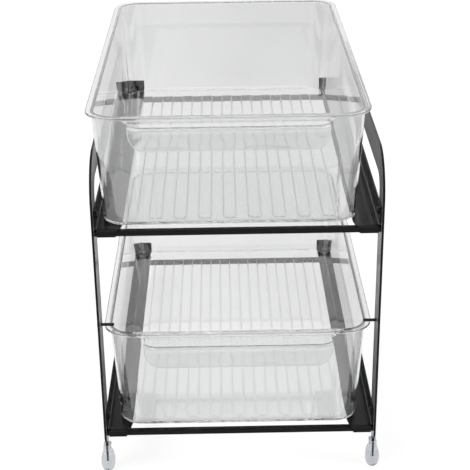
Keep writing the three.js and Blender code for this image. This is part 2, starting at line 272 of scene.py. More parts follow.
class FootSizes(bpy.types.PropertyGroup):
    """Sizes of the soft foot caps"""

    bulb_half_width: length("Bulb half width", "Half the widest measure across the strap", 0.0067)
    bulb_half_depth: length("Bulb half depth", "Half the widest measure along the strap", 0.0081)
    bulb_level: length("Bulb level", "Height of the widest part", 0.0085)
    entry_level: length("Entry level", "Height where the strap's edge enters the bulb", 0.0165)
    neck_level: length("Neck level", "Height where bulb and cheeks meet", 0.0205)
    sleeve_top: length("Sleeve top", "Height of the cheeks", 0.0275)
    slot_level: length("Slot level", "Height of the bottom of the slot", 0.0088)
    slot_half: length("Slot half width", "Half the width of the slot for the strap", 0.0012)
    slot_gap: length("Slot gap", "Room beside each edge of the tongue", 0.0002)
    cheek: length("Cheek", "Thickness of the cheeks beside the strap", 0.0024)
    film: length("Film", "Thickness over the strap's edges", 0.0003)
    rim_round: length("Rim rounding", "Height of the round rim of the sleeve", 0.0010)
    base: share("Base", "Part of the bulb's width that stands flat", 0.45)


class FastenerSizes(bpy.types.PropertyGroup):
    """Sizes of screws, nuts and pins"""

    head_height: length("Head height", "Height of the screw's low dome", 0.0012)
    head_edge: length("Head edge", "Height of the upright edge of the head", 0.0004)
    shank: length("Shank", "Radius of the screw's shank over the thread", 0.0015)
    shank_end: length("Shank end", "Chamfer at the end of the shank", 0.0004)
    recess_depth: length("Recess depth", "Depth of the cross recess", 0.0007)
    recess_reach: length("Recess reach", "Half the span of the cross", 0.0016)
    recess_width: length("Recess width", "Width of an arm of the cross", 0.0008)
    recess_side: length("Recess side", "Width of the slope beside an arm", 0.0003)
    recess_end: length("Recess end", "Width of the slope at the end of an arm", 0.0005)
    thread_pitch: length("Thread pitch", "Distance between thread crests", 0.0005)
    thread_depth: length("Thread depth", "Half the height of a thread crest", 0.00014)
    nut_hole: length("Nut hole", "Radius of the nut's hole", 0.00155)
    nut_edge: length("Nut edge", "Chamfer round the nut's hole", 0.0003)
    pin_rod: length("Pin rod", "Radius of the pin's rod", 0.0014)
    pin_head: length("Pin head", "Height of the pin's domed head", 0.0014)
    pin_round: length("Pin rounding", "Radius of the pin's edges", 0.0005)


class Finishes(bpy.types.PropertyGroup):
    """Colours and gloss"""

    coat: colour("Powder coat", "Black coat of straps, rails and bars", (0.0040, 0.0040, 0.0043))
    coat_pale: colour("Powder coat, pale", "Lightest spots of the coat", (0.0060, 0.0060, 0.0064))
    coat_shine: share("Coat shine", "Specular level of the coat", 0.13)
    coat_rough: share("Coat roughness", "Middle roughness of the coat", 0.20)
    coat_grain: number("Coat grain", "Grains of the coat in a metre", 2600.0)
    # Painted highlight: colour added to the coat along the rails' folds
    bend_painted_highlight: colour("Bend", "Light that the coat gains along a fold", (0.085, 0.085, 0.087))
    strap_sheen: share("Strap sheen", "Pale sheen of the straps at a low angle", 0.55)
    sheen_rough: share("Sheen roughness", "Roughness of that sheen", 0.25)
    steel: colour("Fasteners", "Black steel of screws, nuts and pins", (0.0070, 0.0070, 0.0075))
    steel_pale: colour("Fasteners, pale", "Lightest spots of the fasteners", (0.0130, 0.0130, 0.0135))
    steel_shine: share("Fastener shine", "Specular level of the fasteners", 0.30)
    steel_rough: share("Fastener roughness", "Middle roughness of the fasteners", 0.34)
    steel_grain: number("Fastener grain", "Grains of the fasteners in a metre", 1800.0)
    plastic: colour("Clear plastic", "Tint of the clear bins", (0.835, 0.838, 0.840))
    plastic_pale: colour("Clear plastic, pale", "Lightest tint of the clear bins", (0.850, 0.853, 0.855))
    plastic_index: number("Clear plastic index", "How much the clear bins bend light", 1.59)
    plastic_frost: share("Frost", "Roughness that full frost adds to the clear bins", 0.45)
    plastic_coat: share("Clear coat", "Weight of the clear coat over the bins", 0.3)
    rubber: colour("Clear rubber", "Tint of the foot caps", (0.46, 0.48, 0.51))
    rubber_pale: colour("Clear rubber, pale", "Lightest tint of the foot caps", (0.56, 0.58, 0.61))
    rubber_index: number("Clear rubber index", "How much the foot caps bend light", 1.43)


class Studio(bpy.types.PropertyGroup):
    """Camera, floor and light"""

    lens: number("Lens", "Focal length for a 36 mm sensor", 95.67, unit="CAMERA", subtype="DISTANCE_CAMERA")
    floor_size: length("Floor size", "Radius of the floor", 12.0)
    floor: colour("Floor", "Colour of the pale floor", (0.86, 0.86, 0.86))
    glow: share("Floor glow", "Part of the floor's white that no shadow takes", 0.80)
    # Painted shadow and shade on the floor, seen only through plastic: under the object, near its rear, and
    # further behind
    under_painted_shadow: share("Under loss", "White that the floor under the middle loses, seen through plastic", 0.02)
    near_painted_shadow: share("Near loss", "White that the floor under the rear loses there", 0.10)
    middle_painted_shade: share("Middle loss", "White that the floor behind loses there", 0.07)
    far_painted_shade: share("Far loss", "White that the far floor loses there", 0.19)
    sky: share("Sky", "Strength of the even light from all round", 0.50)
    key: number("Key", "Power of the key lamp in watts", 16.0, unit="POWER")
    fill: number("Fill", "Power of the fill lamp in watts", 8.0, unit="POWER")
    rear: number("Rear", "Power of the rear lamp in watts", 8.0, unit="POWER")
    bounces: IntProperty(
        name="Bounces", description="Turns a ray may take inside the clear plastic", default=128, min=1
    )


class OrganizerSettings(bpy.types.PropertyGroup):
    """All settings of the organizer"""

    bins: PointerProperty(type=BinSizes)
    straps: PointerProperty(type=StrapSizes)
    rails: PointerProperty(type=RailSizes)
    feet: PointerProperty(type=FootSizes)
    fasteners: PointerProperty(type=FastenerSizes)
    finishes: PointerProperty(type=Finishes)
    studio: PointerProperty(type=Studio)


def smooth_step(t):
    """0 below 0, 1 above 1, and 3 t squared minus 2 t cubed between."""
    t = np.clip(t, 0.0, 1.0)
    return t * t * (3.0 - 2.0 * t)


def quarter(steps):
    """Angles of a quarter turn without its first."""
    return np.linspace(0.0, RIGHT_ANGLE, steps + 1)[1:]


def full_turn(steps):
    """Angles of a full turn without its last."""
    return np.linspace(0.0, 2 * np.pi, steps + 1)[:-1]


def grid_faces(index):
    """Faces of four corners between the neighbouring rows and columns of a table of point numbers."""
    corners = (index[:-1, :-1], index[:-1, 1:], index[1:, 1:], index[1:, :-1])
    return np.stack(corners, axis=-1).reshape(-1, 4)


def ring_faces(index):
    """Faces of a table whose last column meets its first."""
    return grid_faces(np.concatenate([index, index[:, :1]], axis=1))


def fan_faces(ring, pole):
    """Triangles from each step of a closed ring to one point."""
    return np.stack([ring, np.roll(ring, -1), np.full_like(ring, pole)], axis=-1)


def face_areas(points, faces):
    """Area vector of each face: half the cross product of its diagonals. A triangle's third corner is its
    fourth too."""
    first, second, third, last = (points[faces[:, corner]] for corner in (0, 1, 2, -1))
    return 0.5 * np.cross(third - first, last - second)


def put_piece(name, points, faces, material, body, slot, node, marks=None):
    """Makes a closed mesh that faces outwards, with normals weighted by area, in place of its CAD node.
    Marks are named values for each point, which the material reads."""
    volume = sum(np.sum(points[f].mean(axis=1) * face_areas(points, f)) for f in faces)
    if volume < 0:
        faces = [f[:, ::-1] for f in faces]
    normals = np.zeros_like(points)
    for f in faces:
        areas = face_areas(points, f)
        for corner in range(f.shape[1]):
            np.add.at(normals, f[:, corner], areas)
    normals /= np.maximum(np.linalg.norm(normals, axis=1, keepdims=True), 1e-30)
    sizes = np.concatenate([np.full(len(f), f.shape[1]) for f in faces])
    corners = np.concatenate([f.ravel() for f in faces])
    mesh = bpy.data.meshes.new(name)
    mesh.vertices.add(len(points))
    mesh.vertices.foreach_set("co", points.ravel())
    mesh.loops.add(len(corners))
    mesh.loops.foreach_set("vertex_index", corners.astype(np.int32))
    mesh.polygons.add(len(sizes))
    mesh.polygons.foreach_set("loop_start", (np.cumsum(sizes) - sizes).astype(np.int32))
    mesh.polygons.foreach_set("use_smooth", np.ones(len(sizes), bool))
    mesh.update(calc_edges=True)
    if mesh.validate():
        raise RuntimeError(f"{name} has faulty faces")
    mesh.normals_split_custom_set_from_vertices(normals)
    for mark, values in (marks or {}).items():
        mesh.attributes.new(mark, "FLOAT", "POINT").data.foreach_set("value", values.astype(np.float32))
    mesh.materials.append(material)
    piece = bpy.data.objects.new(name, mesh)
    bpy.context.scene.collection.objects.link(piece)
    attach(piece, body)
    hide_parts(node)


def round_outline(run_x, turn_x, run_y, turn_y, half, front, rear, radius):
    """A rectangle with round corners. A point of a straight run lies at its share of the run. In a corner
    square a point (u, v) moves to (u sqrt(1 - v v / 2), v sqrt(1 - u u / 2)) times the radius, which turns
    the square into a quarter disc."""
    middle, reach = (front + rear) / 2, (rear - front) / 2
    x = run_x * (half - radius) + radius * turn_x * np.sqrt(1 - turn_y**2 / 2)
    y = middle + run_y * (reach - radius) + radius * turn_y * np.sqrt(1 - turn_x**2 / 2)
    return x, y


def runs_and_turns(places, middle, half, corner):
    """Shares of the straight run and of the corners, for places along one side of a rounded rectangle."""
    offset = places - middle
    run = np.clip(offset / (half - corner), -1.0, 1.0)
    turn = np.sign(offset) * np.clip((np.abs(offset) - half + corner) / corner, 0.0, 1.0)
    return run, turn.round(4)


def edge_of(table):
    """The border of a table, round from its first row's start."""
    return np.concatenate([table[0], table[1:, -1], table[-1, -2::-1], table[-2:0:-1, 0]])


def three_sides(table):
    """The border of a table down its first column, along its last row and up its last column."""
    return np.concatenate([table[:-1, 0], table[-1], table[-2::-1, -1]])


def floor_lines(s, half, front, rear, corner):
    """Places of the floor's grid lines. Columns follow the edges of the strips and the corners. Rows follow
    the corners, the sides and the round ends of the strips."""
    slope = s.strip_edge / 2 * STRIP_SLOPE
    reach = s.strip_width * (s.strip_count - 0.5)
    edges = np.arange(-reach, reach + 1e-6, s.strip_width)[:, None]
    sides = np.concatenate([corner * FLOOR_CORNER - corner + half, [half - corner]])
    columns = np.concatenate([
        (edges + slope).ravel(), (edges[:-1] + s.strip_width * STRIP_GAP).ravel(), sides, -sides,
    ])
    ends = np.linspace(0.0, corner, 7)
    runs = np.linspace(front + corner, rear - corner, 14)[1:-1]
    round_end = np.concatenate([slope, s.strip_width / 2 * STRIP_END])
    lines = np.concatenate([
        front + ends, rear - ends, runs, s.strip_front + round_end, s.strip_rear - round_end,
    ])
    columns = columns[np.abs(columns) <= half]
    return np.unique(columns.round(6)), np.unique(lines.round(6))


def strip_field(s, x, y):
    """Height, frost and painted shade that the strips give the floor, by the distance from the nearest
    strip's edge.
    The height falls off in a smooth step, and frost and the painted shade follow a bell curve."""
    half_strip = s.strip_width / 2
    most = (s.strip_count - 1) / 2
    nearest = np.clip(np.round(x / (2 * s.strip_width)), -most, most)
    beside = x - 2 * s.strip_width * nearest
    middle = (s.strip_front + s.strip_rear) / 2
    half_run = (s.strip_rear - s.strip_front) / 2 - half_strip
    beyond = np.maximum(np.abs(y - middle) - half_run, 0.0)
    distance = np.hypot(beside, beyond) - half_strip
    line = np.exp(-((distance / (s.strip_edge / 2)) ** 2))
    grown = STRIP_START + (1 - STRIP_START) * smooth_step((y - s.strip_front) / STRIP_STRETCH)
    rear_end = smooth_step((y - s.strip_rear + STRIP_STRETCH) / STRIP_FADE)
    height = s.strip_height * grown * smooth_step(0.5 - distance / s.strip_edge)
    frost = (STRIP_FROST * grown + STRIP_END_FROST * rear_end) * line
    # Painted shade: the tint is darker along the strips' edges
    return height, frost, 1 - (1 - s.strip_edge_painted_shade) * line


def bin_profile(s, tall, fillet):
    """Rings of the bin's section: up the inner wall, over the lip and down the outer wall to the base.

    A ring has an inset from the outer wall, a height beside the hood and one at the hood, whether it leans
    with the wall, its frost and its painted shade, which darkens its tint. The last two values are the rings
    between which the hood grows out.
    """
    lip_under = tall - s.lip_thickness
    hood_top = tall - s.handle_drop
    hood_under = hood_top - s.handle_thickness
    rows = []

    def row(inset, plain, hood=None, leans=True, frost=0.0, tone=1.0):
        """Adds one ring."""
        values = (inset, plain, plain if hood is None else hood, leans, frost, tone)
        rows.append([np.broadcast_to(np.asarray(value, float), fillet.shape) for value in values])

    # Inside: the fillet over the floor, the wall and the painted dark line of shade under the rim
    for angle in quarter(6):
        row(s.wall + fillet * (1 - np.sin(angle)), s.floor + fillet * (1 - np.cos(angle)))
    foot, rim = s.floor + fillet, tall - s.lip_round
    for up in np.linspace(0.0, 1.0, 9)[1:]:
        row(s.wall, foot + up * (rim - s.rim_shade_line - foot))
    # Painted shade: a dark line in the tint under the rim's inner edge
    row(s.wall, rim, tone=s.rim_edge_painted_shade)

    # The lip's top between its two round edges, with painted shade on both edges
    for angle in quarter(4):
        inset, level = s.wall - s.lip_round * (1 - np.cos(angle)), tall - s.lip_round * (1 - np.sin(angle))
        row(inset, level, leans=False, frost=RIM_FROST, tone=s.rim_edge_painted_shade)
    inner, outer = s.wall - s.lip_round, s.lip_round - s.lip_width
    for part in LIP_TOP:
        row(inner + part * (outer - inner), tall, leans=False)
    for angle in quarter(4):
        inset, level = outer - s.lip_round * np.sin(angle), tall - s.lip_round * (1 - np.cos(angle))
        row(inset, level, leans=False, frost=RIM_FROST, tone=s.outer_edge_painted_shade)

    # The lip's edge, which opens into the hood, and its underside
    turn_start, cove_start = lip_under + s.lip_lower, hood_top + s.handle_cove
    row(-s.lip_width, turn_start + LIP_STEP, cove_start + HOOD_STEP, leans=False)
    row(-s.lip_width, turn_start, cove_start, leans=False)
    first_root = len(rows) - 1
    for part, angle in zip((0.25, 0.5, 0.75, 1.0), quarter(4)):
        inset = s.lip_lower * (1 - np.cos(angle)) - s.lip_width
        level = lip_under + s.lip_lower * (1 - np.sin(angle))
        row(inset, level, cove_start + part * (hood_under - cove_start), leans=False)
    last_root = len(rows) - 1
    inner, outer = -s.lip_lower, s.lip_lower - s.lip_width
    for part in (0.33, 0.67, 1.0):
        row(outer + part * (inner - outer), lip_under, hood_under, leans=False)
    for angle in quarter(3):
        drop = s.lip_lower * (1 - np.cos(angle))
        row(-s.lip_lower * (1 - np.sin(angle)), lip_under - drop, hood_under - drop)

    # Outside: the wall, the frosted edge of the floor and the rounding under it, both with painted shade
    wall_end = s.floor + s.base_line
    plain_run, hood_run = lip_under - s.lip_lower - wall_end, hood_under - s.lip_lower - wall_end
    for up in np.linspace(1.0, 0.0, 11)[1:]:
        row(0.0, wall_end + up * plain_run, wall_end + up * hood_run)
    # Painted shade along the lower outer edge
    row(0.0, s.floor, frost=BASE_FROST, tone=s.base_edge_painted_shade)
    for angle in (0.0, *quarter(6)[:-1]):
        inset, level = s.base_round * (1 - np.cos(angle)), s.base_round * (1 - np.sin(angle))
        row(inset, level, frost=BASE_FROST, tone=s.base_edge_painted_shade)
    return np.array(rows).transpose(1, 0, 2), first_root, last_root


def handle_sheet(s, hood_top, rim_front, spread, root_half):
    """The hood with its apron: points of the upper face, the lower face and the rim, then frost and the
    painted highlight that makes the hood's tint clearer.

    A sheet follows a path forwards, round a bend and down. Its columns spread from the root, its lower
    corners are quarter discs, and its ends curl back with the square of the distance. A half-round rim joins
    its faces.
    """
    half_sheet = s.handle_thickness / 2
    edge = RIM_BULGE * half_sheet
    half_width = s.handle_width / 2
    run_out = s.handle_reach - half_sheet - s.handle_bend
    bend_length = s.handle_bend * RIGHT_ANGLE
    path_end = run_out + bend_length + s.apron_height - half_sheet - s.handle_bend
    corner = s.apron_corner - edge
    corner_start = path_end - edge - corner
    straight = np.concatenate([
        s.handle_cove * HOOD_COVE,
        np.linspace(s.handle_cove, run_out, 8)[1:],
        run_out + bend_length * np.linspace(0.0, 1.0, 9)[1:-1],
    ])
    straight = straight[straight < corner_start]
    along = np.concatenate([straight, np.full(len(APRON_CORNER), corner_start)])[:, None]
    turn_v = np.concatenate([np.zeros(len(straight)), APRON_CORNER])[:, None]
    flare = root_half + edge - half_width
    near_root = np.clip(flare - along, 0.0, flare)
    sheet_half = half_width + flare - np.sqrt(flare**2 - near_root**2) - edge
    column = spread[None] * sheet_half
    turn_u = np.sign(column) * np.clip((np.abs(column) - sheet_half + corner) / corner, 0.0, 1.0)
    normal_x = turn_u * np.sqrt(1 - turn_v**2 / 2)
    normal_s = turn_v * np.sqrt(1 - turn_u**2 / 2)
    sheet_x = np.clip(column, corner - sheet_half, sheet_half - corner) + corner * normal_x
    sheet_s = along + corner * normal_s

    def on_path(x, at, offset):
        """Points of the sheet at a place along the path, with the offset measured outwards from it."""
        angle = np.clip((at - run_out) / s.handle_bend, 0.0, RIGHT_ANGLE)
        forward = np.minimum(at, run_out) + s.handle_bend * np.sin(angle)
        down = s.handle_bend * (1 - np.cos(angle)) + np.maximum(at - run_out - bend_length, 0.0)
        near_end = np.clip((np.abs(x) - half_width + s.end_width) / s.end_width, 0.0, 1.0)
        curled = (at - CURL_START * run_out) / ((1 - CURL_START) * run_out + bend_length)
        curl = s.end_curl * near_end**2 * smooth_step(curled)
        y = rim_front - forward - offset * np.sin(angle) + curl
        z = hood_top - half_sheet - down + offset * np.cos(angle)
        return np.stack([np.broadcast_to(x, y.shape), y, z], axis=-1)

    def wave(phase):
        """A low moulding wave that fades at the bend and at the edge, and never stands out past the sheet."""
        after_bend = smooth_step((sheet_s - run_out - WAVE_START) / WAVE_FADE)
        fade = after_bend * smooth_step((path_end - WAVE_END - sheet_s) / WAVE_FADE)
        broad = WAVE_SHARES[0] * np.cos(sheet_x / WAVE_ACROSS[0] + phase)
        short = WAVE_SHARES[1] * np.sin(sheet_x / WAVE_ACROSS[1] + phase)
        short = short * np.sin(sheet_s / WAVE_HEIGHT + sheet_x / WAVE_SLANT)
        return s.apron_wave * fade * (broad + short - sum(WAVE_SHARES))

    before_cove = np.maximum(s.handle_cove - sheet_s, 0.0)
    root_rise = s.handle_cove - np.sqrt(np.maximum(s.handle_cove**2 - before_cove**2, 0.0))
    upper = on_path(sheet_x, sheet_s, half_sheet + root_rise + wave(0.0))
    under = on_path(sheet_x, sheet_s, -half_sheet - wave(WAVE_UNDER))
    bulge = edge * np.sin(RIM_ANGLES)[:, None]
    rim_x = three_sides(sheet_x) + bulge * three_sides(normal_x)
    rim_s = three_sides(sheet_s) + bulge * three_sides(normal_s)
    rim = on_path(rim_x, rim_s, half_sheet * np.cos(RIM_ANGLES)[:, None])
    turned = (sheet_s - run_out) / bend_length - 0.5
    frost = BEND_FROST * np.exp(-(turned**2) / BEND_SPREAD)
    # Painted highlight: the hood's tint is made lighter up to its bend
    return upper, under, rim, frost, 1 + s.hood_painted_highlight * (1 - smooth_step(turned))


def bin_surface(s, low, high):
    """One bin as a single closed surface.

    The floor is a grid that fills a rounded rectangle, raised by a height field of long round-ended strips.
    Rings of the same outline carry a profile from the floor's border up the inner wall, over the lip and down
    the outer wall to the underside. In front, a patch of the lip is left open, and the hood grows out of it.
    """
    tall = high[2] - low[2]
    rim_half = (high[0] - low[0]) / 2
    rim_front, rim_rear = low[1] + s.handle_reach, high[1]

    def wall_sides(inset, level):
        """Half the width, the front and the rear of the wall at a level, moved in by inset."""
        down = 1 - level / tall
        half = rim_half - s.lip_width - s.side_lean * down - inset
        front = rim_front + s.lip_width + s.front_lean * down + inset
        return half, front, rim_rear - s.lip_width - s.rear_lean * down - inset

    def outline(shape, inset, level):
        """The wall's outline at a level, moved in by inset."""
        return round_outline(*shape, *wall_sides(inset, level), s.wall_corner - inset)

    inset = s.wall + s.side_fillet
    corner = s.wall_corner - inset
    half, front, rear = wall_sides(inset, s.floor + s.side_fillet)
    columns, lines = floor_lines(s, half, front, rear, corner)
    run_x, turn_x = runs_and_turns(columns, 0.0, half, corner)
    run_y, turn_y = runs_and_turns(lines, (front + rear) / 2, (rear - front) / 2, corner)
    run_x, run_y = np.meshgrid(run_x, run_y)
    turn_x, turn_y = np.meshgrid(turn_x, turn_y)
    tables = (run_x, turn_x, run_y, turn_y)
    border = tuple(edge_of(table)[None] for table in tables)

    # The fillet is larger along the straight rear, and fades out before the corners
    at_rear = smooth_step(2 * turn_y - 1) * (1 - smooth_step(2 * np.abs(turn_x)))
    fillet = s.side_fillet + (s.rear_fillet - s.side_fillet) * at_rear
    floor_x, floor_y = outline(tables, s.wall + fillet, s.floor + fillet)
    strip, floor_frost, floor_painted_shade = strip_field(s, floor_x, floor_y)
    under_x, under_y = outline(tables, s.base_round, 0.0)
    profile, first_root, last_root = bin_profile(s, tall, edge_of(fillet))
    ring_inset, plain, hood, leans, ring_frost, ring_painted_shade = profile

    # The hood's root lies on the straight front of the lip, which gives way to it over a short width
    lip_x = outline(border, -s.lip_width, tall)[0][0]
    in_front = ((border[3] == -1.0) & (border[1] == 0.0))[0]
    front_at = np.flatnonzero(in_front)
    root_half = s.handle_width / 2 + s.handle_root
    start, stop = (front_at[np.argmin(np.abs(lip_x[front_at] - end))] for end in (-root_half, root_half))
    root_half = lip_x[stop]
    hooded = np.where(in_front, smooth_step((root_half + ROOT_FADE - np.abs(lip_x)) / ROOT_FADE), 0.0)
    ring_z = plain + (hood - plain) * hooded
    ring_x, ring_y = outline(border, ring_inset, np.where(leans > 0, ring_z, tall))
    spread = lip_x[start : stop + 1] / root_half
    hood_top = tall - s.handle_drop
    upper, under, rim, sheet_frost, sheet_painted_highlight = handle_sheet(s, hood_top, rim_front, spread, root_half)

    # Each block: its points, its frost and its painted shade or highlight
    blocks = (
        (np.stack([floor_x, floor_y, s.floor + strip], axis=-1), floor_frost, floor_painted_shade),
        (np.stack([ring_x, ring_y, ring_z], axis=-1), ring_frost, ring_painted_shade),
        (np.stack([under_x, under_y, 0 * under_x], axis=-1), 0 * under_x, 1 + 0 * under_x),
        (upper, sheet_frost, sheet_painted_highlight),
        (under, sheet_frost, sheet_painted_highlight),
        (rim, np.full(rim.shape[:2], APRON_FROST), np.ones(rim.shape[:2])),
    )
    sizes = [block[1].size for block in blocks]
    starts = np.cumsum(sizes) - sizes
    floor_at, ring_at, base_at, upper_at, under_at, rim_at = (
        start_at + np.arange(block[1].size).reshape(block[1].shape) for start_at, block in zip(starts, blocks)
    )
    wall_table = np.concatenate([edge_of(floor_at)[None], ring_at, edge_of(base_at)[None]])
    wall_faces = ring_faces(wall_table).reshape(len(wall_table) - 1, -1, 4)
    kept = np.ones(wall_faces.shape[:2], bool)
    kept[first_root + 1 : last_root + 1, start:stop] = False
    roots = ring_at[first_root : last_root + 1]
    upper_table = np.concatenate([roots[:1, start : stop + 1], upper_at])
    under_table = np.concatenate([roots[-1:, start : stop + 1], under_at])
    side_table = np.concatenate([three_sides(upper_at)[None], rim_at, three_sides(under_at)[None]])
    side_table = np.concatenate([roots[:, start, None], side_table, roots[:, stop, None]], axis=1)
    faces = np.concatenate([
        grid_faces(floor_at),
        wall_faces[kept][:, ::-1],
        grid_faces(base_at)[:, ::-1],
        grid_faces(upper_table)[:, ::-1],
        grid_faces(under_table),
        grid_faces(side_table)[:, ::-1],
    ])
    points = np.concatenate([block[0].reshape(-1, 3) for block in blocks])
    frost, tone = (np.concatenate([block[k].ravel() for block in blocks]) for k in (1, 2))
    return points + np.array([(low[0] + high[0]) / 2, 0.0, low[2]]), [faces], {"frost": frost, "tone": tone}


def swept(path, across, thick, half_across, half_thick, radius):
    """A rounded rectangle carried along a path, closed at both ends: at each station the corners' centres lie
    half the width and half the thickness out, less the radius, and a quarter circle goes round each."""
    turns = (np.arange(4)[:, None] * RIGHT_ANGLE + np.linspace(0.0, RIGHT_ANGLE, 4)).ravel()
    sign_x, sign_y = np.repeat([[1, -1, -1, 1], [1, 1, -1, -1]], 4, axis=1)
    half_across = np.broadcast_to(half_across, len(path))[:, None]
    wide = sign_x * (half_across - radius) + radius * np.cos(turns)
    deep = sign_y * (half_thick - radius) + radius * np.sin(turns)
    points = path[:, None] + wide[..., None] * across[:, None] + deep[:, None] * thick
    index = np.arange(len(path) * len(turns)).reshape(len(path), -1)
    half = len(turns) // 2
    first, last = (np.stack([ring[:half], ring[::-1][:half]]) for ring in (index[0], index[-1]))
    faces = np.concatenate([ring_faces(index), grid_faces(first)[:, ::-1], grid_faces(last)])
    return points.reshape(-1, 3), [faces]


def strap_surface(s, low, high):
    """A side frame: a flat strap whose width follows its path from one tongue over the arch to the other. The
    corners of the tongue's end are quarter circles, and the shoulder above it follows a parabola."""
    middle = (low[0] + high[0]) / 2
    half = s.width / 2
    front, rear, top = low[1] + half, high[1] - half, high[2] - half
    turn_radius = s.arch - half
    arch_level = top - turn_radius
    angle = np.linspace(0.0, RIGHT_ANGLE, 5)
    end_z = low[2] + s.tongue_round * (1 - np.cos(angle))
    end_half = s.tongue_width / 2 - s.tongue_round * (1 - np.sin(angle))
    part = np.linspace(1.0, 0.0, 9)
    shoulder_z = low[2] + s.tongue_length + s.shoulder * (1 - part) ** 2
    shoulder_half = half - (half - s.tongue_width / 2) * part**2
    leg = np.linspace(shoulder_z[-1], arch_level, 14)[1:]
    leg_z = np.concatenate([end_z, shoulder_z, leg])
    bend = quarter(16)
    span = np.linspace(front + turn_radius, rear - turn_radius, 12)[1:-1]
    path_y = np.concatenate([np.full(len(leg_z), front), front + turn_radius * (1 - np.cos(bend)), span])
    path_z = np.concatenate([leg_z, arch_level + turn_radius * np.sin(bend), np.full(len(span), top)])
    turned = np.concatenate([np.zeros(len(leg_z)), bend, np.full(len(span), RIGHT_ANGLE)])
    halves = np.concatenate([end_half, shoulder_half, np.full(len(leg) + len(bend) + len(span), half)])

    # The rear leg mirrors the front one
    back = slice(None, len(leg_z) + len(bend))
    path_y = np.concatenate([path_y, (front + rear - path_y[back])[::-1]])
    path_z = np.concatenate([path_z, path_z[back][::-1]])
    turned = np.concatenate([turned, np.pi - turned[back][::-1]])
    halves = np.concatenate([halves, halves[back][::-1]])
    path = np.stack([np.full(len(path_y), middle), path_y, path_z], axis=-1)
    across = np.stack([0 * turned, -np.cos(turned), np.sin(turned)], axis=-1)
    return swept(path, across, np.array([1.0, 0.0, 0.0]), halves, (high[0] - low[0]) / 2, s.edge)


def bar_surface(s, low, high):
    """A bar: a rounded rectangle carried straight across."""
    centre, half = (low + high) / 2, (high - low) / 2
    path_x = np.linspace(low[0], high[0], 24)
    path = np.stack([path_x, centre[1] + 0 * path_x, centre[2] + 0 * path_x], axis=-1)
    across = np.tile([0.0, 1.0, 0.0], (len(path), 1))
    return swept(path, across, np.array([0.0, 0.0, 1.0]), half[1], half[2], s.bar_edge)


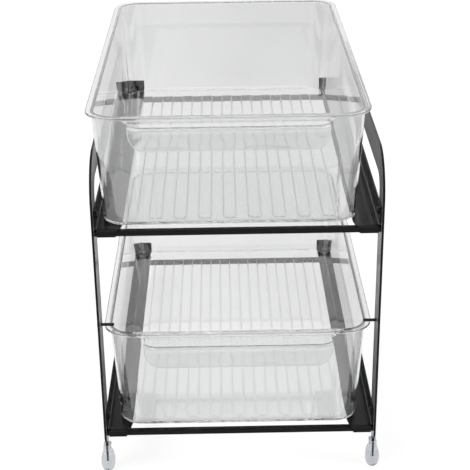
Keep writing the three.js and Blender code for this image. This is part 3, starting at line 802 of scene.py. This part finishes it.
def rail_surface(s, low, high, way):
    """A rail: one sheet folded three times.

    Its middle surface is a table. Columns run from the inner edge of the flange round a quarter bend and up
    the upstand. Rows run from the foot of the front lip round a bend, along the flange, round a bend and up
    the stop tab. Beside lip and tab the upstand's columns are left out. The two faces lie half the sheet out
    from the middle surface, and a round rim closes the border.
    """
    half = s.sheet / 2
    bend = s.bend - half
    width = high[0] - low[0]
    level = high[2] - s.upstand - half
    turn = np.linspace(0.0, RIGHT_ANGLE, 7)
    foot, top, tab_top = low[2] + s.rim, high[2] - s.rim, level + half + s.tab - s.rim
    front, rear = low[1] + s.bend, high[1] - s.bend
    lip = np.array([foot, foot + s.rim, (foot + level - bend) / 2])
    tab = np.array([(level + bend + tab_top) / 2, tab_top - s.rim, tab_top])
    run = np.linspace(front + s.relief, rear - s.relief, 40)
    row_y = np.concatenate([
        low[1] + half + 0 * lip, front - bend * np.cos(turn), run, rear + bend * np.sin(turn),
        high[1] - half + 0 * tab,
    ])
    row_z = np.concatenate([
        lip, level - bend + bend * np.sin(turn), level + 0 * run, level + bend - bend * np.cos(turn), tab,
    ])
    tilt = np.concatenate([0 * lip, turn, RIGHT_ANGLE + 0 * run, RIGHT_ANGLE - turn, 0 * tab])
    first_run = len(lip) + len(turn)
    last_run = first_run + len(run) - 1

    # Flange columns, which give way to the round corner, then the columns of bend and upstand
    depth = np.clip(s.corner - row_y + low[1], 0.0, s.corner)
    begin = (s.rim + s.corner - np.sqrt(s.corner**2 - depth**2))[:, None]
    flange = begin + RAIL_FLANGE * (width - s.bend - begin)
    rise = np.concatenate([turn[1:], np.full(len(RAIL_UPSTAND), RIGHT_ANGLE)])
    climb = np.concatenate([0 * turn[1:], RAIL_UPSTAND * (top - level - bend)])
    count = len(row_y)
    across = np.concatenate([flange, np.tile(width - s.bend + bend * np.sin(rise), (count, 1))], axis=1)
    upstand_z = level + bend * (1 - np.cos(rise)) + climb
    height = np.concatenate([
        np.tile(row_z[:, None], len(RAIL_FLANGE)), np.tile(upstand_z, (count, 1)),
    ], axis=1)
    middle = np.stack([across, np.tile(row_y[:, None], across.shape[1]), height], axis=-1).reshape(-1, 3)
    flange_normal = np.stack([0 * tilt, -np.cos(tilt), np.sin(tilt)], axis=-1)[:, None]
    upstand_normal = np.stack([-np.sin(rise), 0 * rise, np.cos(rise)], axis=-1)[None]
    normal = np.concatenate([
        np.tile(flange_normal, (1, len(RAIL_FLANGE), 1)), np.tile(upstand_normal, (count, 1, 1)),
    ], axis=1).reshape(-1, 3)

    # The border, round from the lip's foot, with its rim
    cells = across.shape
    index = np.arange(across.size).reshape(cells)
    fold = len(RAIL_FLANGE) - 1
    loop = np.concatenate([
        index[0, :fold], index[:first_run, fold], index[first_run, fold:-1], index[first_run:last_run, -1],
        index[last_run, :fold:-1], index[last_run:-1, fold], index[-1, fold:0:-1], index[:0:-1, 0],
    ])
    ahead = np.roll(middle[loop], -1, axis=0) - np.roll(middle[loop], 1, axis=0)
    out = np.cross(ahead, normal[loop])
    out /= np.linalg.norm(out, axis=1, keepdims=True)
    angle = RIM_ANGLES[:, None, None]
    rim = middle[loop] + half * np.cos(angle) * normal[loop] + s.rim * np.sin(angle) * out
    rim_index = 2 * across.size + np.arange(len(angle) * len(loop)).reshape(len(angle), -1)
    rim_table = np.concatenate([loop[None], rim_index, loop[None] + across.size])
    kept = np.ones((cells[0] - 1, cells[1] - 1), bool)
    kept[:first_run, fold:] = False
    kept[last_run:, fold:] = False
    sheet = grid_faces(index)[kept.ravel()]
    faces = np.concatenate([sheet, sheet[:, ::-1] + across.size, ring_faces(rim_table)[:, ::-1]])
    points = np.concatenate([middle + half * normal, middle - half * normal, rim.reshape(-1, 3)])
    inner = low[0] if way > 0 else high[0]
    points = np.array([inner, 0.0, 0.0]) + points * np.array([way, 1.0, 1.0])

    # Folds are marked on the upper face with a painted highlight, the long one most
    bell = np.sin(2 * turn) ** 2
    fold_highlight_mark = np.zeros(len(points))
    upper = fold_highlight_mark[: across.size].reshape(cells)
    upper[:, fold : fold + len(turn)] += bell
    upper[len(lip) : first_run, : fold + 1] += s.front_fold_painted_highlight * bell[:, None]
    used, faces = np.unique(faces, return_inverse=True)
    return points[used], [faces.reshape(-1, 4)], {"fold": fold_highlight_mark[used]}


def foot_surface(s, straps, low, high):
    """A foot cap: rings of a superellipse whose half axes follow the height. From the middle of the base they
    swell like a quarter ellipse to the bulb, close in like (1 - t t) to the power 3/4 to the sleeve's cheeks,
    turn over the sleeve's rim and go down inside round the tongue to the bottom of the slot."""
    inner = np.array([s.slot_half, straps.tongue_width / 2 + s.slot_gap])
    wall = np.array([s.cheek, s.film])
    bulb = np.array([s.bulb_half_width, s.bulb_half_depth])
    sleeve = inner + wall
    neck = np.array([s.neck_level, s.entry_level])
    base = s.base * bulb
    flat = np.array([0.35, 0.7, 1.0])[:, None]
    lower = np.linspace(0.0, 1.0, 15)[1:, None] ** 2
    upper = np.linspace(0.0, 1.0, 17)[1:, None]
    upper_level = s.bulb_level + (s.neck_level - s.bulb_level) * upper
    closing = np.clip((upper_level - s.bulb_level) / (neck - s.bulb_level), 0.0, 1.0)
    rim = s.sleeve_top - s.rim_round
    over = np.linspace(0.0, np.pi, 9)[:, None]
    inside = np.linspace(1.0, 0.0, 6)[1:, None]
    half = np.concatenate([
        base * flat,
        base + (bulb - base) * np.sqrt(1 - (1 - lower) ** 2),
        sleeve + (bulb - sleeve) * (1 - closing**2) ** 0.75,
        inner + wall * (1 + np.cos(over)) / 2,
        inner + 0 * inside,
    ])
    level = np.concatenate([
        0 * flat,
        s.bulb_level * lower,
        upper_level,
        rim + s.rim_round * np.sin(over),
        s.slot_level + (rim - s.slot_level) * inside,
    ])
    oval, squarer, sleeve_power = 2.2, 4.0, 5.0
    power = np.concatenate([
        np.full(len(flat) + len(lower), oval),
        np.linspace(oval, squarer, len(upper)),
        np.full(len(over) + len(inside), sleeve_power),
    ])[:, None]
    around = full_turn(64)
    circle = (np.cos(around), np.sin(around))
    shape_x, shape_y = (np.sign(axis) * np.abs(axis) ** (2 / power) for axis in circle)
    rings = np.stack([half[:, :1] * shape_x, half[:, 1:] * shape_y, level + 0 * shape_x], axis=-1)
    index = np.arange(shape_x.size).reshape(shape_x.shape)
    poles = np.array([[0.0, 0.0, 0.0], [0.0, 0.0, s.slot_level]])
    place = np.array([(low[0] + high[0]) / 2, (low[1] + high[1]) / 2, low[2]])
    base_fan = fan_faces(index[0][::-1], index.size)
    slot_fan = fan_faces(index[-1], index.size + 1)
    return np.concatenate([rings.reshape(-1, 3), poles]) + place, [ring_faces(index), base_fan, slot_fan]


def turned_surface(axial, radius, centre, way, poles=None):
    """A surface turned about X: rows of axial place and radius, which may change with the angle. With poles,
    the first and last rows close on a point each; without, the last row meets the first."""
    around = full_turn(radius.shape[1])
    x = centre[0] + way * np.broadcast_to(axial, radius.shape)
    rings = np.stack([x, centre[1] + radius * np.cos(around), centre[2] + radius * np.sin(around)], axis=-1)
    index = np.arange(radius.size).reshape(radius.shape)
    points = rings.reshape(-1, 3)
    if poles is None:
        return points, [ring_faces(np.concatenate([index, index[:1]]))]
    ends = np.array([[centre[0] + way * pole, centre[1], centre[2]] for pole in poles])
    first, last = fan_faces(index[0][::-1], radius.size), fan_faces(index[-1], radius.size + 1)
    return np.concatenate([points, ends]), [ring_faces(index), first, last]


def screw_surface(s, low, high, way):
    """A pan-head screw: a dome with a cross recess cut as a height field, a flat underside and a shank with
    thread crests that follow a cosine along the axis and wind round with the angle."""
    head_radius = (high[1] - low[1]) / 2
    half = (high[0] - low[0]) / 2
    around = full_turn(TURN_STEPS)
    ones = np.ones((1, TURN_STEPS))
    ring = SCREW_RINGS * head_radius
    across, along = ring * np.cos(around), ring * np.sin(around)
    dome = np.sqrt(np.maximum(1 - (ring / head_radius) ** SCREW_DOME, 0.0))

    def arm(p, q):
        """One arm of the cross: deep along its middle line, out to its reach."""
        beside = smooth_step(0.5 + (s.recess_width / 2 - np.abs(p)) / s.recess_side)
        return beside * smooth_step(0.5 + (s.recess_reach - np.abs(q)) / s.recess_end)

    shallower = np.clip(RECESS_SLOPE - ring / s.recess_reach, RECESS_LEAST, 1.0)
    recess = np.maximum(arm(across, along), arm(along, across)) * shallower
    under = half - s.head_height
    top = under + s.head_edge + (s.head_height - s.head_edge) * dome - s.recess_depth * recess
    shank = np.linspace(0.0, 1.0, 40)[:, None]
    shank_x = under + shank * (s.shank_end - half - under)
    fade = smooth_step(shank * THREAD_FADE) * smooth_step((1 - shank) * THREAD_FADE)
    thread = s.thread_depth * np.cos(2 * np.pi * shank_x / s.thread_pitch + around) * fade
    axial = np.concatenate([
        top, (under + HEAD_SIDE * s.head_edge) * ones, under * ones, shank_x * ones, -half * ones,
    ])
    radius = np.concatenate([
        ring * ones, head_radius * ones, HEAD_UNDER * head_radius * ones,
        s.shank - s.thread_depth + thread, (s.shank - s.shank_end) * ones,
    ])
    return turned_surface(axial, radius, (low + high) / 2, way, (half - s.recess_depth, -half))


def nut_surface(s, low, high, way):
    """A hexagon nut: its outer radius is the flat's distance over the cosine of the angle from that flat, and
    both faces are chamfered where the corners stand out past a circle."""
    half = (high[0] - low[0]) / 2
    flat = min(high[1] - low[1], high[2] - low[2]) / 2
    around = full_turn(TURN_STEPS)
    hexagon = flat / np.cos((around % (np.pi / 3)) - np.pi / 6)
    circle = flat * NUT_CIRCLE
    chamfer = (hexagon - circle) * NUT_CHAMFER
    ones = np.ones(TURN_STEPS)
    outward = [s.nut_hole * ones, (s.nut_hole + s.nut_edge) * ones, circle * ones, hexagon]
    rise = [(half - s.nut_edge) * ones, half * ones, half * ones, half - chamfer]
    radius = np.stack(outward + outward[::-1])
    axial = np.stack(rise + [-level for level in rise[::-1]])
    return turned_surface(axial, radius, (low + high) / 2, way)


def pin_surface(s, low, high, way):
    """A lip pin: a rod with a round tip and a low domed head, turned about X."""
    half = (high[0] - low[0]) / 2
    head = (high[1] - low[1]) / 2
    under = half - s.pin_head
    turn = quarter(6)
    dome = PIN_SIDE + (1 - PIN_SIDE) * np.sqrt(np.maximum(1 - PIN_RINGS**PIN_DOME, 0.0))
    rod = np.linspace(under, s.pin_round - half, 12)[1:]
    tip, tip_radius = s.pin_round * (1 - np.sin(turn)) - half, s.pin_rod - s.pin_round * (1 - np.cos(turn))
    axial = np.concatenate([under + s.pin_head * dome, [under, under], rod, tip])[:, None]
    radius = np.concatenate([head * PIN_RINGS, [head, s.pin_rod], s.pin_rod + 0 * rod, tip_radius])[:, None]
    return turned_surface(axial, np.tile(radius, (1, 40)), (low + high) / 2, way, (half, -half))


def empty_tree(owner):
    """The cleared node tree of a material or world."""
    owner.use_nodes = True
    owner.node_tree.nodes.clear()
    return owner.node_tree


def add_node(tree, kind, inputs=None, **options):
    """Adds a shader node, sets its options, and links or sets its inputs by name or number."""
    node = tree.nodes.new("ShaderNode" + kind)
    for name, value in options.items():
        setattr(node, name, value)
    for name, value in (inputs or {}).items():
        if isinstance(value, bpy.types.NodeSocket):
            tree.links.new(value, node.inputs[name])
        else:
            node.inputs[name].default_value = value
    return node


def worked(tree, operation, *inputs, kind="Math"):
    """The result of one operation on its inputs."""
    return add_node(tree, kind, dict(enumerate(inputs)), operation=operation).outputs[0]


def noise_socket(tree, scale, detail=2.0, rough=0.5):
    """Noise on object coordinates, in waves per metre."""
    place = add_node(tree, "TexCoord").outputs["Object"]
    inputs = {"Vector": place, "Scale": scale, "Detail": detail, "Roughness": rough}
    return add_node(tree, "TexNoise", inputs).outputs["Fac"]


def ranged(tree, source, given, wanted):
    """A socket moved from one range to another, and held inside it."""
    ends = dict(zip(("From Min", "From Max", "To Min", "To Max"), (*given, *wanted)))
    return add_node(tree, "MapRange", {"Value": source, **ends}).outputs["Result"]


def ramped(tree, source, places, colours):
    """A colour by a socket, straight between the colours at the given places."""
    ramp = add_node(tree, "ValToRGB", {"Fac": source})
    stops = ramp.color_ramp.elements
    stops.remove(stops[1])
    for place, shade in zip(places, colours):
        stop = stops[0] if place == places[0] else stops.new(place)
        stop.position = place
        stop.color = (*shade, 1.0)
    return ramp.outputs["Color"]


def coat_material(name, dark, pale, shine, rough, grain, sheen=0.0, sheen_rough=0.25, fold=None):
    """Satin black coat: fine grain in the normal and the colour, and a broad change in gloss. With a fold
    colour, a painted highlight makes it lighter where its mark says that the sheet is folded."""
    made = bpy.data.materials.new(name)
    tree = empty_tree(made)
    spread = (rough - GLOSS_SPREAD, rough + GLOSS_SPREAD)
    gloss = ranged(tree, noise_socket(tree, COAT_GLOSS, 3.0), NOISE_RANGE, spread)
    fine = noise_socket(tree, grain, 2.0, 0.6)
    bump = add_node(tree, "Bump", {"Height": fine, "Strength": GRAIN_STRENGTH, "Distance": GRAIN_DEPTH})
    tint = ramped(tree, fine, TINT_PLACES, (dark, pale))
    # Painted highlight along the folds
    if fold:
        mark = add_node(tree, "Attribute", attribute_name="fold").outputs["Color"]
        tint = worked(tree, "MULTIPLY_ADD", mark, fold, tint, kind="VectorMath")
    shader = add_node(tree, "BsdfPrincipled", {
        "Base Color": tint, "Roughness": gloss, "Normal": bump.outputs["Normal"], "Specular IOR Level": shine,
        "Sheen Weight": sheen, "Sheen Roughness": sheen_rough,
    })
    add_node(tree, "OutputMaterial", {"Surface": shader.outputs["BSDF"]})
    return made


def clear_material(name, dark, pale, index, rough, lamp_tint, frost=0.0, coat=0.0):
    """Clear plastic or rubber: it bends light, with a broad change in tint and gloss, and lets the lamps'
    light through. With frost, it is rougher where its frost mark says so, and its tint carries painted shade
    and a painted highlight where its other mark says so."""
    made = bpy.data.materials.new(name)
    tree = empty_tree(made)
    tint = ramped(tree, noise_socket(tree, CLEAR_TINT), TINT_PLACES, (dark, pale))
    gloss = ranged(tree, noise_socket(tree, CLEAR_GLOSS, 3.0), NOISE_RANGE, rough)
    if frost:
        # Painted shade darkens the tint along edges, and a painted highlight lightens it on the hood
        tone = add_node(tree, "Attribute", attribute_name="tone").outputs["Color"]
        tint = worked(tree, "MULTIPLY", tint, tone, kind="VectorMath")
        edge = add_node(tree, "Attribute", attribute_name="frost").outputs["Fac"]
        gloss = worked(tree, "MULTIPLY_ADD", edge, frost, gloss)
    shader = add_node(tree, "BsdfPrincipled", {
        "Base Color": tint, "Roughness": gloss, "Transmission Weight": 1.0, "IOR": index, "Coat Weight": coat,
    })
    see = add_node(tree, "BsdfTransparent", {"Color": (*lamp_tint, 1.0)})
    path = add_node(tree, "LightPath")
    mix = add_node(tree, "MixShader", {
        "Fac": path.outputs["Is Shadow Ray"], 1: shader.outputs["BSDF"], 2: see.outputs["BSDF"],
    })
    add_node(tree, "OutputMaterial", {"Surface": mix.outputs["Shader"]})
    return made


def black_coat(f, name, **more):
    """The coat of straps, rails and bars."""
    return coat_material(name, f.coat, f.coat_pale, f.coat_shine, f.coat_rough, f.coat_grain, **more)


class ORGANIZER_OT_bins(bpy.types.Operator):
    """Builds the two clear bins"""

    bl_idname = "organizer.bins"
    bl_label = "Clear bins"

    def execute(self, context):
        settings = context.scene.organizer
        f = settings.finishes
        plastic = clear_material(
            "clear_bin_plastic", f.plastic, f.plastic_pale, f.plastic_index, PLASTIC_ROUGH, PLASTIC_LAMP,
            f.plastic_frost, f.plastic_coat,
        )
        for tier in TIERS:
            node = f"{tier}_bin"
            points, faces, marks = bin_surface(settings.bins, *box_of(node))
            put_piece(f"{tier}_clear_bin", points, faces, plastic, node, "clear_plastic", node, marks)
        return {"FINISHED"}


class ORGANIZER_OT_side_frames(bpy.types.Operator):
    """Builds the two strap side frames"""

    bl_idname = "organizer.side_frames"
    bl_label = "Side frames"

    def execute(self, context):
        settings = context.scene.organizer
        f = settings.finishes
        coat = black_coat(f, "satin_strap_coat", sheen=f.strap_sheen, sheen_rough=f.sheen_rough)
        for side in SIDES:
            node = f"{side}_side_frame"
            surface = strap_surface(settings.straps, *box_of(node))
            put_piece(f"{side}_strap", *surface, coat, "frame", "black_coat", node)
        return {"FINISHED"}


class ORGANIZER_OT_shelf_frames(bpy.types.Operator):
    """Builds the four bars and the four rails"""

    bl_idname = "organizer.shelf_frames"
    bl_label = "Shelf frames"

    def execute(self, context):
        settings = context.scene.organizer
        f = settings.finishes
        coat = black_coat(f, "satin_black_coat")
        rail_coat = black_coat(f, "satin_rail_coat", fold=tuple(f.bend_painted_highlight))
        for tier in TIERS:
            for end in ENDS:
                node = f"{tier}_{end}_bar"
                surface = bar_surface(settings.straps, *box_of(node))
                put_piece(f"{tier}_{end}_coated_bar", *surface, coat, "frame", "black_coat", node)
            for side, way in SIDES.items():
                node = f"{tier}_{side}_rail"
                name = f"{tier}_{side}_folded_rail"
                points, faces, marks = rail_surface(settings.rails, *box_of(node), way)
                put_piece(name, points, faces, rail_coat, "frame", "black_coat", node, marks)
        return {"FINISHED"}


class ORGANIZER_OT_foot_caps(bpy.types.Operator):
    """Builds the four soft foot caps"""

    bl_idname = "organizer.foot_caps"
    bl_label = "Foot caps"

    def execute(self, context):
        settings = context.scene.organizer
        f = settings.finishes
        rubber = clear_material(
            "clear_foot_rubber", f.rubber, f.rubber_pale, f.rubber_index, RUBBER_ROUGH, RUBBER_LAMP
        )
        for side in SIDES:
            for end in ENDS:
                node = f"{side}_{end}_foot_cap"
                surface = foot_surface(settings.feet, settings.straps, *box_of(node))
                put_piece(f"{side}_{end}_soft_foot", *surface, rubber, "frame", "clear_rubber", node)
        return {"FINISHED"}


class ORGANIZER_OT_fasteners(bpy.types.Operator):
    """Builds the screws, the nuts and the lip pins"""

    bl_idname = "organizer.fasteners"
    bl_label = "Fasteners"

    def execute(self, context):
        settings = context.scene.organizer
        f = settings.finishes
        steel = coat_material(
            "black_fastener_steel", f.steel, f.steel_pale, f.steel_shine, f.steel_rough, f.steel_grain
        )

        def put(shape, node, name):
            """Makes one fastener of a shape."""
            surface = shape(settings.fasteners, *box_of(node), way)
            put_piece(name, *surface, steel, "frame", "black_fasteners", node)

        for side, way in SIDES.items():
            put(pin_surface, f"{side}_lip_pin", f"{side}_round_pin")
            for tier in TIERS:
                for end in ENDS:
                    place = f"{tier}_{side}_{end}"
                    put(screw_surface, f"{place}_screw", f"{place}_pan_screw")
                    put(nut_surface, f"{place}_nut", f"{place}_hex_nut")
        return {"FINISHED"}


def shown_ray(tree):
    """1 for rays that show the stage: from the camera, off gloss or through clear plastic."""
    path = add_node(tree, "LightPath").outputs
    direct = worked(tree, "MAXIMUM", path["Is Camera Ray"], path["Is Glossy Ray"])
    return worked(tree, "MAXIMUM", direct, path["Is Transmission Ray"])


def floor_paint(studio):
    """A pale paint that glows where it is seen and takes shadows. Seen through plastic it loses some white: a
    painted shadow under the object and painted shade that deepens behind it.
    """
    material = bpy.data.materials.new("pale_floor_paint")
    tree = empty_tree(material)
    place = add_node(tree, "TexCoord").outputs["Object"]
    apart = add_node(tree, "SeparateXYZ", {0: place}).outputs
    # Painted shadow and shade: seen through plastic, the floor's glow drops under and behind the object
    behind = ranged(tree, apart["Y"], PAINTED_SHADE_BEHIND, (0.0, 1.0))
    shares = (0.0, studio.under_painted_shadow, studio.near_painted_shadow, studio.near_painted_shadow, studio.middle_painted_shade, studio.far_painted_shade)
    floor_shadow_loss = ramped(tree, behind, PAINTED_SHADE_PLACES, [(share_shaded,) * 3 for share_shaded in shares])
    floor_shadow_loss = worked(tree, "MULTIPLY", floor_shadow_loss, ranged(tree, apart["X"], PAINTED_SHADE_ACROSS, PAINTED_SHADE_SIDES))
    floor_shadow_loss = worked(tree, "MULTIPLY", floor_shadow_loss, add_node(tree, "LightPath").outputs["Is Transmission Ray"])
    glow = add_node(tree, "Emission", {"Strength": worked(tree, "SUBTRACT", studio.glow, floor_shadow_loss)})
    shaded = add_node(tree, "BsdfDiffuse", {"Color": FLOOR_SHADE})
    plain = add_node(tree, "BsdfDiffuse", {"Color": (*studio.floor, 1.0)})
    both = add_node(tree, "AddShader", {0: glow.outputs[0], 1: shaded.outputs[0]})
    mix = add_node(tree, "MixShader", {"Fac": shown_ray(tree), 1: plain.outputs[0], 2: both.outputs[0]})
    add_node(tree, "OutputMaterial", {"Surface": mix.outputs[0]})
    return material


def stage_floor(studio):
    """A flat round floor: rings of points that widen from the middle outwards."""
    around = full_turn(96)
    radius = studio.floor_size * FLOOR_RINGS
    rings = np.stack([radius * np.cos(around), radius * np.sin(around), 0 * radius * around], axis=-1)
    index = np.arange(rings.shape[0] * rings.shape[1]).reshape(rings.shape[:2])
    points = np.concatenate([rings.reshape(-1, 3), np.zeros((1, 3))])
    quads, fan = ring_faces(index)[:, ::-1], fan_faces(index[0], index.size)
    mesh = bpy.data.meshes.new("pale_floor")
    mesh.from_pydata(points.tolist(), [], quads.tolist() + fan.tolist())
    mesh.update()
    mesh.materials.append(floor_paint(studio))
    floor = bpy.data.objects.new("pale_floor", mesh)
    bpy.context.scene.collection.objects.link(floor)


def stage_sky(studio):
    """Even light from all round, white where it is seen."""
    world = bpy.data.worlds.new("white_studio")
    tree = empty_tree(world)
    light = add_node(tree, "Background", {"Color": WHITE, "Strength": studio.sky})
    white = add_node(tree, "Background", {"Color": WHITE})
    mix = add_node(tree, "MixShader", {"Fac": shown_ray(tree), 1: light.outputs[0], 2: white.outputs[0]})
    add_node(tree, "OutputWorld", {"Surface": mix.outputs[0]})
    bpy.context.scene.world = world


def stage_lamp(name, place, wide, power, mirrored):
    """A square soft lamp that looks at the middle of the object, and shows in gloss if mirrored."""
    data = bpy.data.lights.new(name, "AREA")
    data.shape = "SQUARE"
    data.size = wide
    data.energy = power
    lamp = bpy.data.objects.new(name, data)
    lamp.location = place
    way = Vector(LAMP_AIM) - Vector(place)
    lamp.rotation_euler = way.to_track_quat("-Z", "Y").to_euler()
    lamp.visible_glossy = mirrored
    lamp.visible_transmission = False
    bpy.context.scene.collection.objects.link(lamp)


def stage_camera(studio):
    """The camera of the photograph: in front and above, looking down, with slight yaw and roll."""
    pitch, yaw, roll = np.radians(CAMERA_TURN)
    ahead = np.array([np.sin(yaw) * np.cos(pitch), np.cos(yaw) * np.cos(pitch), -np.sin(pitch)])
    right = np.array([np.cos(yaw), -np.sin(yaw), 0.0])
    up = np.cross(right, ahead)
    turned_right = np.cos(roll) * right + np.sin(roll) * up
    turned_up = -np.sin(roll) * right + np.cos(roll) * up
    matrix = Matrix(np.column_stack([turned_right, turned_up, -ahead]).tolist()).to_4x4()
    matrix.translation = CAMERA_PLACE
    data = bpy.data.cameras.new("front_camera")
    data.sensor_width = SENSOR_WIDTH
    data.lens = studio.lens
    data.clip_end = CAMERA_REACH
    camera = bpy.data.objects.new("front_camera", data)
    camera.matrix_world = matrix
    bpy.context.scene.collection.objects.link(camera)
    bpy.context.scene.camera = camera


class ORGANIZER_OT_stage(bpy.types.Operator):
    """Sets the camera, the pale floor and the soft light"""

    bl_idname = "organizer.stage"
    bl_label = "Stage"

    def execute(self, context):
        studio = context.scene.organizer.studio
        stage_camera(studio)
        stage_floor(studio)
        stage_sky(studio)
        for name, (place, wide, mirrored) in LAMPS.items():
            stage_lamp(f"{name}_lamp", place, wide, getattr(studio, name), mirrored)
        context.scene.view_settings.view_transform = "Standard"
        light = context.scene.cycles
        light.max_bounces = studio.bounces
        light.glossy_bounces = studio.bounces
        light.transmission_bounces = studio.bounces
        return {"FINISHED"}


class ORGANIZER_PT_pieces(bpy.types.Panel):
    """Lists the operators and the settings"""

    bl_idname = "ORGANIZER_PT_pieces"
    bl_label = "Mug organizer"
    bl_space_type = "VIEW_3D"
    bl_region_type = "UI"
    bl_category = "Organizer"

    def draw(self, context):
        settings = context.scene.organizer
        for made in OPERATORS:
            self.layout.operator(made.bl_idname)
        for group_name in OrganizerSettings.__annotations__:
            group = getattr(settings, group_name)
            box = self.layout.box()
            for name in group.__annotations__:
                box.prop(group, name)


GROUPS = (BinSizes, StrapSizes, RailSizes, FootSizes, FastenerSizes, Finishes, Studio, OrganizerSettings)
OPERATORS = (
    ORGANIZER_OT_stage,
    ORGANIZER_OT_side_frames,
    ORGANIZER_OT_shelf_frames,
    ORGANIZER_OT_bins,
    ORGANIZER_OT_foot_caps,
    ORGANIZER_OT_fasteners,
)


def register():
    """Makes the classes known and gives the scene its settings."""
    for made in (*GROUPS, *OPERATORS, ORGANIZER_PT_pieces):
        bpy.utils.register_class(made)
    bpy.types.Scene.organizer = PointerProperty(type=OrganizerSettings)


def unregister():
    """Takes the settings and the classes away again."""
    del bpy.types.Scene.organizer
    for made in reversed((*GROUPS, *OPERATORS, ORGANIZER_PT_pieces)):
        bpy.utils.unregister_class(made)


def main():
    register()
    bpy.ops.organizer.stage()
    bpy.ops.organizer.side_frames()
    bpy.ops.organizer.shelf_frames()
    bpy.ops.organizer.bins()
    bpy.ops.organizer.foot_caps()
    bpy.ops.organizer.fasteners()


if __name__ == "__main__":
    main()
